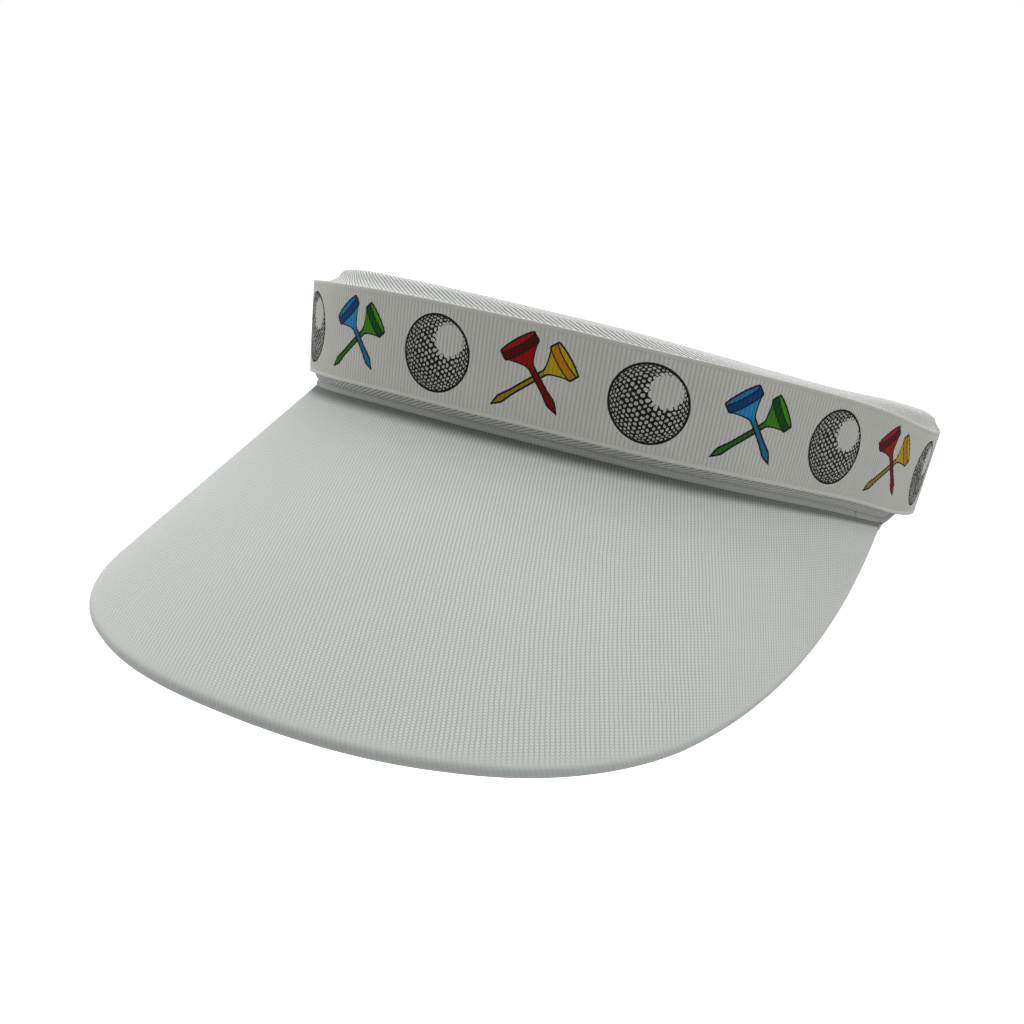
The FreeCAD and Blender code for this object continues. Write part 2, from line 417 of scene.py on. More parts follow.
def drawBall(tree, x, y, under):
    radius = printing["ballRadius"]
    x = calc(tree, "DIVIDE", x, printing["ballWidth"])
    square = calc(tree, "ADD", calc(tree, "MULTIPLY", x, x), calc(tree, "MULTIPLY", y, y))
    far = calc(tree, "SQRT", square)
    share = calc(tree, "MINIMUM", calc(tree, "DIVIDE", far, radius), 0.999)
    bulge = calc(tree, "DIVIDE", calc(tree, "ARCSINE", share), calc(tree, "MAXIMUM", far, 0.01))
    facing = tree.nodes.new("ShaderNodeCombineXYZ")
    feed(tree, facing.inputs[0], calc(tree, "MULTIPLY", x, bulge))
    feed(tree, facing.inputs[1], calc(tree, "MULTIPLY", y, bulge))
    turned = tree.nodes.new("ShaderNodeVectorRotate")
    turned.rotation_type = "Z_AXIS"
    turned.inputs["Angle"].default_value = math.radians(printing["dimpleTilt"])
    ragged = tree.nodes.new("ShaderNodeTexNoise")
    ragged.inputs["Scale"].default_value = 3.2
    ragged.inputs["Detail"].default_value = 1.0
    tree.links.new(facing.outputs[0], ragged.inputs["Vector"])
    strayed = tree.nodes.new("ShaderNodeVectorMath")
    strayed.operation = "MULTIPLY_ADD"
    strayed.inputs[1].default_value = (printing["dimpleStray"], printing["dimpleStray"], 0)
    tree.links.new(ragged.outputs["Color"], strayed.inputs[0])
    tree.links.new(facing.outputs[0], strayed.inputs[2])
    tree.links.new(strayed.outputs[0], turned.inputs["Vector"])
    # dimples stand in two crossed square rows, which together are a honeycomb
    pitch = printing["dimplePitch"]
    rowPitch = pitch * printing["dimpleRow"]
    nearest = None
    for shift in (0.0, 0.5):
        place = tree.nodes.new("ShaderNodeVectorMath")
        place.operation = "WRAP"
        moved = tree.nodes.new("ShaderNodeVectorMath")
        moved.operation = "ADD"
        moved.inputs[1].default_value = (shift * pitch, shift * rowPitch * 2, 0)
        tree.links.new(turned.outputs[0], moved.inputs[0])
        tree.links.new(moved.outputs[0], place.inputs[0])
        place.inputs[1].default_value = (pitch / 2, rowPitch, 1)
        place.inputs[2].default_value = (-pitch / 2, -rowPitch, -1)
        reach = tree.nodes.new("ShaderNodeVectorMath")
        reach.operation = "LENGTH"
        tree.links.new(place.outputs[0], reach.inputs[0])
        gap = reach.outputs["Value"]
        nearest = gap if nearest is None else calc(tree, "MINIMUM", nearest, gap)
    lightX, lightY = printing["highlight"]
    offX = calc(tree, "SUBTRACT", x, lightX)
    offY = calc(tree, "SUBTRACT", y, lightY)
    fromLight = calc(tree, "SQRT", calc(tree, "ADD", calc(tree, "MULTIPLY", offX, offX),
                                        calc(tree, "MULTIPLY", offY, offY)))
    uneven = grain(tree, facing.outputs[0], 9.0, 1.0)
    size = calc(tree, "ADD", ramp(tree, fromLight, 2.7, 4.3, *printing["dimpleSize"]),
                ramp(tree, uneven, 0.35, 0.65, -0.05, 0.065))
    nearest = calc(tree, "DIVIDE", nearest, pitch)
    dimple = calc(tree, "LESS_THAN", nearest, size)
    shade = ramp(tree, calc(tree, "ADD", x, y), -9.0, 3.0, 0.86, 1.0)
    inner = calc(tree, "LESS_THAN", nearest, 0.2)
    soft = ramp(tree, fromLight, 3.4, 5.0, 0.0, 0.22)
    tone = calc(tree, "MULTIPLY", shade, calc(tree, "SUBTRACT", 1.0, calc(tree, "MULTIPLY", inner, soft)))
    clear = mixColour(tree, tone, printing["ink"], under)
    ball = mixColour(tree, dimple, printing["ink"], clear)
    outline = calc(tree, "GREATER_THAN", far, radius - printing["ballOutline"])
    ball = mixColour(tree, outline, ball, printing["ink"])
    return mixColour(tree, calc(tree, "LESS_THAN", far, radius), under, ball)


def ribbonMaterial():
    material, tree, shader = newMaterial("printedGrosgrain", 0.82)
    along, up, place = clothPlace(tree)
    y = calc(tree, "ADD", up, printing["lowered"])
    half = printing["spacing"] / 2
    first, last, size = printing["stretch"]
    stretch = ramp(tree, along, first, last, 0.0, size)
    fromBall = calc(tree, "SUBTRACT", calc(tree, "SUBTRACT", along, stretch), printing["ballAt"])
    x = calc(tree, "WRAP", fromBall, half, -half)
    teeX = calc(tree, "WRAP", calc(tree, "SUBTRACT", x, half), half, -half)
    turn = calc(tree, "DIVIDE", fromBall, printing["spacing"] * 2)
    odd = calc(tree, "GREATER_THAN", calc(tree, "FRACT", turn), 0.5)

    rib = wave(tree, along, band["ribPitch"])
    warp = wave(tree, up, 0.27)
    edge = calc(tree, "LESS_THAN", calc(tree, "ABSOLUTE", up), band["halfRibbon"] - 0.95)
    threads = calc(tree, "ADD", calc(tree, "MULTIPLY", calc(tree, "MULTIPLY", rib, edge), 0.7),
                   calc(tree, "MULTIPLY", warp, 0.3))
    tone = grain(tree, place, 0.09)
    white = mixColour(tree, tone, (0.70, 0.70, 0.655), (0.78, 0.78, 0.735))
    red = drawTees(tree, teeX, y, "red", "yellow", white)
    blue = drawTees(tree, teeX, y, "blue", "green", white)
    drawn = mixColour(tree, odd, blue, red)
    drawn = drawBall(tree, x, y, drawn)
    # painted shade: the rib valleys are darkened in colour, on top of the real ribs' shading; the selvedges
    # are left plain
    paintedValleyShade = ramp(tree, rib, 0.0, 0.75, 0.80, 1.0)
    paintedValleyShade = mixColour(tree, edge, (1, 1, 1), paintedValleyShade)
    shader.inputs["Specular IOR Level"].default_value = 0.12
    tree.links.new(mixColour(tree, 1.0, drawn, paintedValleyShade, "MULTIPLY"), shader.inputs["Base Color"])
    emboss(tree, shader, threads, 0.05)
    return material


ribbon = {
    "thickness": 0.42,
    "ribHeight": 0.11,
    "sunk": 0.12,        # the valleys' depth behind the ribbon's nominal face
    "selvedge": 0.85,    # width of the firm edge
    "selvedgeRise": 0.06,
}


def ribbonPiece(name, part, start, end, material):
    pitch, half = band["ribPitch"], band["halfRibbon"]
    ribs = int(round((end - start) / pitch))
    phases = np.array([0.0, 0.09, 0.25, 0.5, 0.75, 0.91])
    s = (start + pitch * (np.arange(ribs)[:, None] + phases[None])).ravel()
    crown = np.tile(np.sqrt(1 - (2 * phases - 1) ** 2), ribs)
    s, crown = np.append(s, start + ribs * pitch), np.append(crown, 0)
    inner = half - ribbon["selvedge"]
    edgeRows = inner + ribbon["selvedge"] * np.array([0.0, 0.1, 0.3, 0.55, 0.8, 0.95, 1.0])
    middle = np.linspace(-inner + 0.35, inner - 0.35, 9)
    up = np.concatenate([-edgeRows[::-1], middle, edgeRows])
    onEdge = np.clip((np.abs(up) - inner) / ribbon["selvedge"], 0, 1)
    bead = np.sqrt(np.clip(1 - (2 * onEdge - 1.05) ** 2 / 1.1, 0, 1)) * (onEdge > 0.01)
    weave = (np.abs(up) < inner - 0.1).astype(float)
    out = -ribbon["sunk"] + ribbon["ribHeight"] * crown[:, None] * weave[None]
    out = out + (ribbon["selvedgeRise"] + ribbon["sunk"] * 0.8) * bead[None]
    out = out - 0.25 * (onEdge[None] > 0.97)
    out = out + drift(s, 0.10, 0.4)[:, None]
    height = up[None] + drift(s, 0.10, 1.9)[:, None]
    points = bandPoint(s[:, None], out, height)
    uv = np.stack(np.broadcast_arrays(s[:, None], up[None]), -1)
    piece = gridPiece(name, points, uv)
    thicken(piece, ribbon["thickness"])
    paint(piece, material)
    rideBand(piece, part)
    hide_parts("ribbon_" + part)
    return piece


grosgrain = ribbonMaterial()


# the pad: a foam-filled twill cover, rolled over the top behind the ribbon and stitched below it

pad = {
    "face": -0.66,           # just behind the ribbon
    "back": -7.75,           # just in front of the sweatband
    "rollBack": -8.9,
    "rollHeights": (
        (-180, 3.0), (-60, 2.9), (-30, 2.5), (0, 1.7), (28, 1.6), (50, 0.7),
        (77, 0.1), (95, 1.1), (113, 2.9), (132, 4.4), (150, 4.2), (166, 2.2), (180, 1.6),
    ),
    "rollSetbacks": ((-180, 2.2), (-70, 6.0), (-40, 4.6), (0, 2.4), (68, 1.8), (130, 1.7), (180, 1.8)),
    "foldWidth": 1.75,       # of the sweatband's turned-up edge under the lip
    "around": 64,
    "step": 1.4,
    "swell": 0.45,
    "topTwill": (1.9, 1.4),      # how far a line runs along for each step up, and line to line
    "lipTwill": (-2.2, 1.7),
}


def eased(s, table):
    # a smooth curve through a few values along the band
    places, values = np.array(table, float).T
    smooth = np.interp(s, places, values)
    for shift in (-12, -6, 6, 12):
        smooth = smooth + np.interp(s + shift, places, values)
    return smooth / 5


def padSection(s):
    bottom, rise, setback = bandBottom(s), eased(s, pad["rollHeights"]), eased(s, pad["rollSetbacks"])
    rise = rise + drift(s, 0.12, 3.1)
    top, face, back = band["halfRibbon"], pad["face"], pad["back"]
    fold = np.minimum(bottom + pad["foldWidth"], -top + 0.3)
    corners = [
        (-3.4, bottom + 1.0),
        (-2.7, fold - 0.1),
        (-2.0, fold + 0.3),
        (-1.45, np.minimum(fold + 1.2, -top + 0.6)),
        (-0.95, -top + 0.9),
        (face, -top + 2.4),
        (face, -5), (face, 0), (face, 5),
        (face, top - 1.4),
        (face - 0.25, top - 0.25),
        (-setback * 0.5 - 0.4, top - 0.15 + rise * 0.03),
        (-setback - 0.15, top + 0.1 + rise * 0.36),
        (-setback - 0.85, top + 0.1 + rise * 0.80),
        ((-setback + pad["rollBack"]) / 2 - 0.3, top + 0.1 + rise),
        (pad["rollBack"] + 0.9, top + rise * 0.82),
        (pad["rollBack"], top + rise * 0.35 + 0.3),
        (pad["rollBack"] + 0.25, top - 0.35),
        (back, top - 1.3),
        (back, 5), (back, 0), (back, -5),
        (back, bottom + 2.6),
        (-6.9, bottom + 1.2),
        (-5.2, bottom + 1.0),
    ]
    return sectionPath(s, corners)


def swelled(points, loose):
    # cloth simulation: air pressure lifts the cover where no seam holds it, up to a small cap
    rows, cols = points.shape[:2]
    flat = np.zeros((rows, cols + 1, 2))
    proxy = gridPiece("padProxy", points, flat, around=True, capped=True)
    group = proxy.vertex_groups.new(name="held")
    held = np.flatnonzero(~loose.ravel())
    group.add([int(k) for k in held], 1.0, "REPLACE")
    cloth = proxy.modifiers.new("cloth", "CLOTH")
    cloth.settings.vertex_group_mass = "held"
    cloth.settings.quality = 6
    cloth.settings.mass = 0.05
    cloth.settings.tension_stiffness = 25
    cloth.settings.compression_stiffness = 25
    cloth.settings.shear_stiffness = 8
    cloth.settings.bending_stiffness = 0.05
    cloth.settings.use_pressure = True
    cloth.settings.uniform_pressure_force = 4
    cloth.settings.effector_weights.gravity = 0
    cloth.collision_settings.use_collision = False
    cloth.point_cache.frame_start = 1
    cloth.point_cache.frame_end = 16
    for moment in range(1, 17):
        bpy.context.scene.frame_set(moment)
    shape = proxy.evaluated_get(bpy.context.evaluated_depsgraph_get())
    after = np.array([v.co for v in shape.data.vertices]).reshape(points.shape) / mm
    selectOnly(proxy)
    bpy.ops.object.modifier_apply(modifier="cloth")
    bpy.data.objects.remove(proxy)
    bpy.context.scene.frame_set(1)
    move = after - points
    size = np.linalg.norm(move, axis=2, keepdims=True)
    print("cover swells by up to", round(float(size.max()), 2), "mm before the cap")
    cap = pad["swell"]
    return points + move * (cap * np.tanh(size / cap) / np.maximum(size, 1e-9))


def twillMaterial():
    material, tree, shader = newMaterial("bandTwill", 0.9)
    along, up, place = clothPlace(tree)
    wobble = calc(tree, "MULTIPLY", calc(tree, "SUBTRACT", grain(tree, place, 0.25), 0.5), 0.5)
    (topSlope, topPitch), (lipSlope, lipPitch) = pad["topTwill"], pad["lipTwill"]
    topLine = calc(tree, "DIVIDE", calc(tree, "MULTIPLY_ADD", up, topSlope, along), topPitch)
    lipLine = calc(tree, "DIVIDE", calc(tree, "MULTIPLY_ADD", up, lipSlope, along), lipPitch)
    low = calc(tree, "LESS_THAN", up, 0.0)
    pick = tree.nodes.new("ShaderNodeMix")
    feed(tree, pick.inputs[0], low)
    feed(tree, pick.inputs[2], topLine)
    feed(tree, pick.inputs[3], lipLine)
    phase = calc(tree, "FRACT", calc(tree, "ADD", pick.outputs[0], wobble))
    ridge = calc(tree, "SINE", calc(tree, "MULTIPLY", phase, math.pi))
    # painted shade: the twill's grooves are darkened in colour
    paintedGrooveShade = ramp(tree, ridge, 0.10, 0.60, 0.30, 1.0)
    yarn = wave(tree, calc(tree, "SUBTRACT", up, calc(tree, "MULTIPLY", along, 0.6)), 0.42)
    tone = grain(tree, place, 0.13)
    base = mixColour(tree, tone, (0.84, 0.86, 0.84), (0.88, 0.90, 0.87))
    base = mixColour(tree, 1.0, base, paintedGrooveShade, "MULTIPLY")
    # painted shade: the cloth on the lip, below the ribbon, is darkened
    base = mixColour(tree, 1.0, base, ramp(tree, up, -11.5, -9.0, 0.76, 1.0), "MULTIPLY")
    # painted shade: the gaps between the fine yarns are darkened
    base = mixColour(tree, 1.0, base, ramp(tree, yarn, 0.0, 0.6, 0.9, 1.0), "MULTIPLY")
    shader.inputs["Sheen Weight"].default_value = 0.2
    shader.inputs["Sheen Roughness"].default_value = 0.5
    tree.links.new(base, shader.inputs["Base Color"])
    emboss(tree, shader, calc(tree, "MULTIPLY_ADD", yarn, 0.25, ridge), 0.16)
    return material


padS = np.concatenate([
    stations(-band["armTip"], -splitAt, pad["step"])[:-1],
    stations(-splitAt, splitAt, pad["step"]),
    stations(splitAt, band["armTip"], pad["step"])[1:],
])
padOut, padHeight, padLength = smoothPath(padSection(padS), pad["around"] + 1, closed=True)
padPoints = bandPoint(padS[:, None], padOut, padHeight)[:, :-1]
outer = padOut > -3.6
rising = np.argmax((padHeight > 0) & outer, axis=1)
rowAt = np.arange(len(padS))
below, above = padHeight[rowAt, rising - 1], padHeight[rowAt, rising]
zero = padLength[rowAt, rising - 1] + padLength[:, 1] * (0 - below) / (above - below)
padUp = padLength - zero[:, None]
overRoll = (padHeight > band["halfRibbon"] + 0.25)[:, :-1]
onLip = ((padHeight < -band["halfRibbon"] - 0.1) & (padOut > -2.4))[:, :-1]
padPoints = swelled(padPoints, overRoll | onLip)
twill = twillMaterial()
padUv = np.stack(np.broadcast_arrays(padS[:, None], padUp), -1)
for part, (label, start, end) in bandParts.items():
    rows = (padS > start - 0.01) & (padS < end + 0.01)
    cover = gridPiece("pad" + label, padPoints[rows], padUv[rows], around=True, capped=True)
    smoothUnder(cover, 60)
    paint(cover, twill)
    rideBand(cover, part)
    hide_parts("band_cover_" + part, "band_foam_" + part)
print("pad done")

for part, (label, start, end) in bandParts.items():
    if part == "right_arm":
        start = end - math.floor((end - start) / band["ribPitch"]) * band["ribPitch"]
    ribbonPiece("ribbon" + label, part, start, end, grosgrain)
print("ribbon done")


# the sweatband: soft lining inside, turned up in front under the lip as a smooth fold

sweatband = {
    "thickness": 0.55,
    "back": -8.75,
    "stitchLine": 9.6,
    "step": 1.4,
    "across": 54,
}


def sweatbandSection(s):
    bottom = bandBottom(s)
    fold = np.minimum(bottom + pad["foldWidth"], -band["halfRibbon"] + 0.3)
    back, top = sweatband["back"], band["halfRibbon"]
    corners = [
        (-2.6, fold + 0.35),
        (-2.05, fold - 0.05),
        (-1.75, (fold + bottom) / 2 + 0.1),
        (-1.9, bottom + 0.3),
        (-2.6, bottom),
        (-5.0, bottom - 0.05),
        (-7.6, bottom + 0.05),
        (back + 0.25, bottom + 0.75),
        (back, bottom + 2.2),
        (back + 0.1, -4),
        (back + 0.12, 2),
        (back, 7),
        (back - 0.1, sweatband["stitchLine"] - 0.9),
        (back + 0.28, sweatband["stitchLine"]),
        (back - 0.15, sweatband["stitchLine"] + 0.7),
        (back + 0.1, top - 0.35),
        (back + 0.6, top - 0.25),
    ]
    return sectionPath(s, corners)


def liningMaterial():
    material, tree, shader = newMaterial("brushedLining", 0.95)
    along, up, place = clothPlace(tree)
    knit = calc(tree, "MULTIPLY", wave(tree, along, 0.8), wave(tree, up, 0.55))
    fuzz = grain(tree, place, 2.6, 4.0)
    tone = grain(tree, place, 0.08)
    base = mixColour(tree, tone, (0.66, 0.685, 0.66), (0.74, 0.76, 0.735))
    # painted shade: the gaps between the knit's loops are darkened
    base = mixColour(tree, 1.0, base, ramp(tree, knit, 0.0, 0.7, 0.86, 1.0), "MULTIPLY")
    # painted shade: the first few millimetres of the lining, its fold under the lip, are darkened
    base = mixColour(tree, 1.0, base, ramp(tree, up, 3.0, 6.0, 0.72, 1.0), "MULTIPLY")
    shader.inputs["Sheen Weight"].default_value = 0.35
    shader.inputs["Sheen Roughness"].default_value = 0.6
    tree.links.new(base, shader.inputs["Base Color"])
    emboss(tree, shader, calc(tree, "MULTIPLY_ADD", fuzz, 0.8, calc(tree, "MULTIPLY", knit, 0.6)), 0.12)
    return material


lining = liningMaterial()
for part, (label, start, end) in bandParts.items():
    s = stations(start, end, sweatband["step"])
    out, height, length = smoothPath(sweatbandSection(s), sweatband["across"])
    points = bandPoint(s[:, None], out + drift(s, 0.08, 0.9)[:, None], height)
    uv = np.stack(np.broadcast_arrays(s[:, None], length), -1)
    cloth = gridPiece("sweatband" + label, points, uv, flip=True)
    thicken(cloth, sweatband["thickness"])
    paint(cloth, lining)
    rideBand(cloth, part)
    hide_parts("sweatband_lining_" + part)
print("sweatband done")


# stitches: one small capsule of thread, copied along a seam

thread = {
    "radius": 0.17,
    "length": 2.3,
    "pitch": 3.1,
}


def threadMaterial():
    material, tree, shader = newMaterial("sewingThread", 0.7)
    twist = grain(tree, objectPlace(tree), 2600.0, 1.0)
    base = mixColour(tree, twist, (0.60, 0.61, 0.59), (0.80, 0.81, 0.79))
    tree.links.new(base, shader.inputs["Base Color"])
    emboss(tree, shader, twist, 0.04)
    return material


def oneStitch():
    bpy.ops.object.select_all(action="DESELECT")
    bpy.ops.mesh.primitive_uv_sphere_add(segments=8, ring_count=6, radius=thread["radius"])
    ball = bpy.context.object
    points = np.array([v.co for v in ball.data.vertices])
    half = thread["length"] / 2 - thread["radius"]
    points[:, 2] += np.where(points[:, 2] > 0.001, half, np.where(points[:, 2] < -0.001, -half, 0))
    points[:, 0] -= 0.35 * thread["radius"] * (points[:, 2] / half) ** 2   # ends dip into the cloth
    faces = [tuple(f.vertices) for f in ball.data.polygons]
    bpy.data.objects.remove(ball)
    return points, faces


stitchPoints, stitchFaces = oneStitch()
threadPaint = threadMaterial()


def stitchRow(name, seats, runs, normals):
    # each stitch lies along run, with its back to normal
    allPoints, allFaces = [], []
    for seat, run, normal in zip(seats, runs, normals):
        run = run / np.linalg.norm(run)
        side = np.cross(run, normal)
        side = side / np.linalg.norm(side)
        face = np.cross(side, run)
        shape = stitchPoints @ np.stack([face, side, run])
        allFaces += [tuple(v + len(allPoints) * len(shape) for v in f) for f in stitchFaces]
        allPoints.append(shape + seat)
    mesh = bpy.data.meshes.new(name)
    mesh.from_pydata((np.concatenate(allPoints) * mm).tolist(), [], allFaces)
    mesh.shade_smooth()
    row = bpy.data.objects.new(name, mesh)
    bpy.context.scene.collection.objects.link(row)
    paint(row, threadPaint)
    return row


for part, (label, start, end) in bandParts.items():
    s = np.arange(start + thread["pitch"] / 2, end - 6, thread["pitch"])
    if part == "right_arm":
        s = np.arange(start + 6, end - thread["pitch"] / 2, thread["pitch"])
    out = sweatband["back"] + 0.16 + drift(s, 0.08, 0.9)
    seats = bandPoint(s, out, sweatband["stitchLine"])
    runs = bandPoint(s + 1, out, sweatband["stitchLine"]) - bandPoint(s - 1, out, sweatband["stitchLine"])
    inward = bandPoint(s, out - 1, sweatband["stitchLine"]) - seats
    rideBand(stitchRow("sweatbandStitches" + label, seats, runs, inward), part)


# end bindings: a cap of tape folded over each arm's tip and sewn through

binding = {
    "start": 173.6,
    "tip": 179.6,
    "proud": 0.42,
    "around": 56,
}


def bindingSection(s):
    bottom, rise, setback = bandBottom(s), eased(s, pad["rollHeights"]), eased(s, pad["rollSetbacks"])
    top, proud = band["halfRibbon"], binding["proud"]
    corners = [
        (-4.9, bottom - proud), (-2.2, bottom - proud + 0.05), (-0.7, bottom + 0.1),
        (proud * 0.6, -top + 0.3), (proud, -8), (proud, 0),
        (proud, 8), (proud * 0.9, top - 0.3), (-0.7, top + 0.55),
        (-setback * 0.7, top + 0.5 + rise * 0.5), (-setback - 1.2, top + 0.45 + rise * 0.95),
        ((-setback + pad["rollBack"]) / 2, top + proud + 0.2 + rise),
        (pad["rollBack"] + 0.7, top + 0.4 + rise * 0.8),
        (pad["rollBack"] - proud, top + 0.2 + rise * 0.3),
        (sweatband["back"] - proud, 8), (sweatband["back"] - proud, 0),
        (sweatband["back"] - proud, -8), (sweatband["back"] - proud + 0.2, bottom + 1.0),
        (-7.6, bottom - proud + 0.1),
    ]
    return sectionPath(s, corners)


def bindingMaterial():
    material, tree, shader = newMaterial("bindingTape", 0.85)
    along, up, place = clothPlace(tree)
    rib = wave(tree, up, 0.6)
    cross = wave(tree, along, 0.45)
    tone = grain(tree, place, 0.2)
    base = mixColour(tree, tone, (0.70, 0.715, 0.69), (0.77, 0.785, 0.76))
    # painted shade: the tape is darkened between its ribs
    base = mixColour(tree, 1.0, base, ramp(tree, rib, 0.0, 0.6, 0.8, 1.0), "MULTIPLY")
    tree.links.new(base, shader.inputs["Base Color"])
    shader.inputs["Sheen Weight"].default_value = 0.15
    emboss(tree, shader, calc(tree, "MULTIPLY_ADD", cross, 0.4, rib), 0.08)
    return material


tape = bindingMaterial()
for part, side, label in (("left_arm", 1, "Left"), ("right_arm", -1, "Right")):
    places = np.concatenate([
        [binding["start"], binding["start"] + 0.15],
        stations(binding["start"] + 0.8, binding["tip"], 0.8),
        binding["tip"] + np.array([0.35, 0.65, 0.85, 0.95]),
    ])
    shrink = np.concatenate([[0.965, 1.0], np.ones(len(places) - 6), [0.985, 0.93, 0.8, 0.5]])
    s = side * places
    out, height, length = smoothPath(bindingSection(s), binding["around"] + 1, closed=True)
    midOut, midHeight = out.mean(1, keepdims=True), height.mean(1, keepdims=True)
    narrow = shrink[:, None]
    out = midOut + (out - midOut) * narrow
    height = midHeight + (height - midHeight) * (1 - (1 - narrow) * 0.4)
    points = bandPoint(s[:, None], out, height)[:, :-1]
    uv = np.stack(np.broadcast_arrays(s[:, None], length), -1)
    cap = gridPiece("binding" + label, points, uv, around=True, capped=True, flip=side < 0)
    smoothUnder(cap, 55)
    paint(cap, tape)
    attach(cap, part)
    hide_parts("end_binding_" + ("left" if side > 0 else "right"))
    rows = np.arange(-9.6, 9.7, thread["pitch"])
    sewn = side * (binding["start"] + 1.3)
    outer = bandPoint(sewn, binding["proud"] + 0.02, rows)
    inner = bandPoint(sewn, sweatband["back"] - binding["proud"] - 0.02, rows)
    rise = bandPoint(sewn, 0, rows + 1) - bandPoint(sewn, 0, rows)
    face = bandPoint(sewn, 1, rows) - bandPoint(sewn, 0, rows)
    row = stitchRow("bindingStitches" + label, np.concatenate([outer, inner]), np.concatenate([rise, rise]),
                    np.concatenate([face, -face]))
    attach(row, part)
print("bindings done")


# the brim: cloth over a board, straight rulings leaving the band's bottom forwards and down

brim = {
    "length": 84.8,
    "fullness": 2.46,      # power of the outline, higher is squarer
    "slope": 30.5,         # degrees below level at the middle
    "sideSlope": 47.5,
    "forward": 0.77,
    "rootOut": -1.35,
    "rootHeight": -15.1,
    "thickness": 3.0,
    "cloth": 0.5,
    "spare": 0.3,          # the cloth's edge stands this far outside the board's
    "hem": 5.0,            # turned under along the edge
    "hemStitch": 4.6,      # from the cloth's edge
    "tuck": 1.3,           # the cloth runs on this far under the lip
    "rootBow": 22.0,       # how far the root line bows when the cloth lies flat
    "grain": 17.0,         # degrees from the rulings to the cloth's yarns
    "yarn": 0.75,
    "bead": 0.62,
    "stations": 300,
    "rows": 84,
}


def brimRoot(s):
    return bandPoint(s, brim["rootOut"], brim["rootHeight"])


def brimRuling(s):
    share = np.abs(s) / band["brimReach"]
    slope = np.radians(brim["slope"] + (brim["sideSlope"] - brim["slope"]) * share ** 2)
    heading = bandLine(s)[2]
    planX = np.sin(heading) * (1 - brim["forward"])
    planY = -np.cos(heading) * (1 - brim["forward"]) - brim["forward"]
    size = np.hypot(planX, planY)
    return np.stack([planX / size * np.cos(slope), planY / size * np.cos(slope), -np.sin(slope)], -1)


def unit(vectors):
    return vectors / np.linalg.norm(vectors, axis=-1, keepdims=True)


def brimLength(s):
    return brim["length"] * (1 - np.minimum(np.abs(s) / band["brimReach"], 1) ** brim["fullness"])


brimS = band["brimReach"] * 0.9985 * np.sin(np.linspace(-math.pi / 2, math.pi / 2, brim["stations"]))
root, ruling = brimRoot(brimS), brimRuling(brimS)
rootStep = brimRoot(brimS + 0.5) - brimRoot(brimS - 0.5)
normal = unit(np.cross(rootStep, ruling))
normal = normal * np.sign(normal[:, 2:])
rim = root + ruling * brimLength(brimS)[:, None]
rimStep = unit(np.gradient(rim, axis=0))
outward = unit(np.cross(normal, rimStep))
outward = outward * np.sign((outward * ruling).sum(1))[:, None]
rollRadius = brim["thickness"] / 2
rollCentre = rim + outward * (brim["spare"] - rollRadius)
acrossStep = np.linalg.norm(np.cross(rootStep, ruling), axis=1)
steps = np.diff(brimS) * (acrossStep[1:] + acrossStep[:-1]) / 2
brimAcross = np.concatenate([[0], np.cumsum(steps)])
brimAcross = brimAcross - brimAcross[-1] / 2
skew = (rootStep * ruling).sum(1)
brimAlong = np.concatenate([[0], np.cumsum(np.diff(brimS) * (skew[1:] + skew[:-1]) / 2)])
brimAlong = brimAlong - brimAlong[len(brimAlong) // 2]


def brimMaterial():
    material, tree, shader = newMaterial("brimCloth", 0.88)
    along, up, place = clothPlace(tree)
    wobble = calc(tree, "MULTIPLY", calc(tree, "SUBTRACT", grain(tree, place, 0.12), 0.5), 0.5)
    turn = math.radians(brim["grain"])
    # yarns run askew to the rulings; every other column's beads stand half a step on
    column = calc(tree, "SUBTRACT", calc(tree, "MULTIPLY", along, math.cos(turn)),
                  calc(tree, "MULTIPLY", up, math.sin(turn)))
    column = calc(tree, "ADD", column, wobble)
    row = calc(tree, "ADD", calc(tree, "MULTIPLY", along, math.sin(turn)),
               calc(tree, "MULTIPLY", up, math.cos(turn)))
    step = calc(tree, "FLOOR", calc(tree, "DIVIDE", column, brim["yarn"]))
    row = calc(tree, "MULTIPLY_ADD", step, brim["bead"] / 2, row)
    ribs = wave(tree, column, brim["yarn"])
    picks = wave(tree, row, brim["bead"])
    # painted shade: the cloth is darkened between the yarn columns and between their beads
    paintedValleyShade = ramp(tree, ribs, 0.0, 0.85, 0.70, 1.0)
    paintedDipShade = ramp(tree, picks, 0.0, 0.85, 0.74, 1.0)
    fromLip = tree.nodes.new("ShaderNodeAttribute")
    fromLip.attribute_name = "fromLip"
    onRim = tree.nodes.new("ShaderNodeAttribute")
    onRim.attribute_name = "onRim"
    rim = onRim.outputs["Fac"]
    # painted shade: the cloth darkens where it runs under the lip, standing in for the lip's shadow
    paintedLipShade = ramp(tree, fromLip.outputs["Fac"], 0.2, 4.4, 0.30, 1.0)
    tone = grain(tree, place, 0.05, 3.0)
    base = mixColour(tree, tone, (0.80, 0.84, 0.80), (0.83, 0.87, 0.825))
    weave = mixColour(tree, 1.0, paintedValleyShade, paintedDipShade, "MULTIPLY")
    weave = mixColour(tree, calc(tree, "MULTIPLY", rim, 0.75), weave, (0.85, 0.85, 0.85))
    base = mixColour(tree, 1.0, base, weave, "MULTIPLY")
    base = mixColour(tree, 1.0, base, paintedLipShade, "MULTIPLY")
    shader.inputs["Sheen Weight"].default_value = 0.2
    shader.inputs["Sheen Roughness"].default_value = 0.5
    tree.links.new(base, shader.inputs["Base Color"])
    pearls = calc(tree, "MULTIPLY", ramp(tree, ribs, 0, 1, 0, 1), ramp(tree, picks, 0, 1, 0.45, 1))
    emboss(tree, shader, calc(tree, "MULTIPLY", pearls, calc(tree, "SUBTRACT", 1.0, rim)), 0.05)
    return material


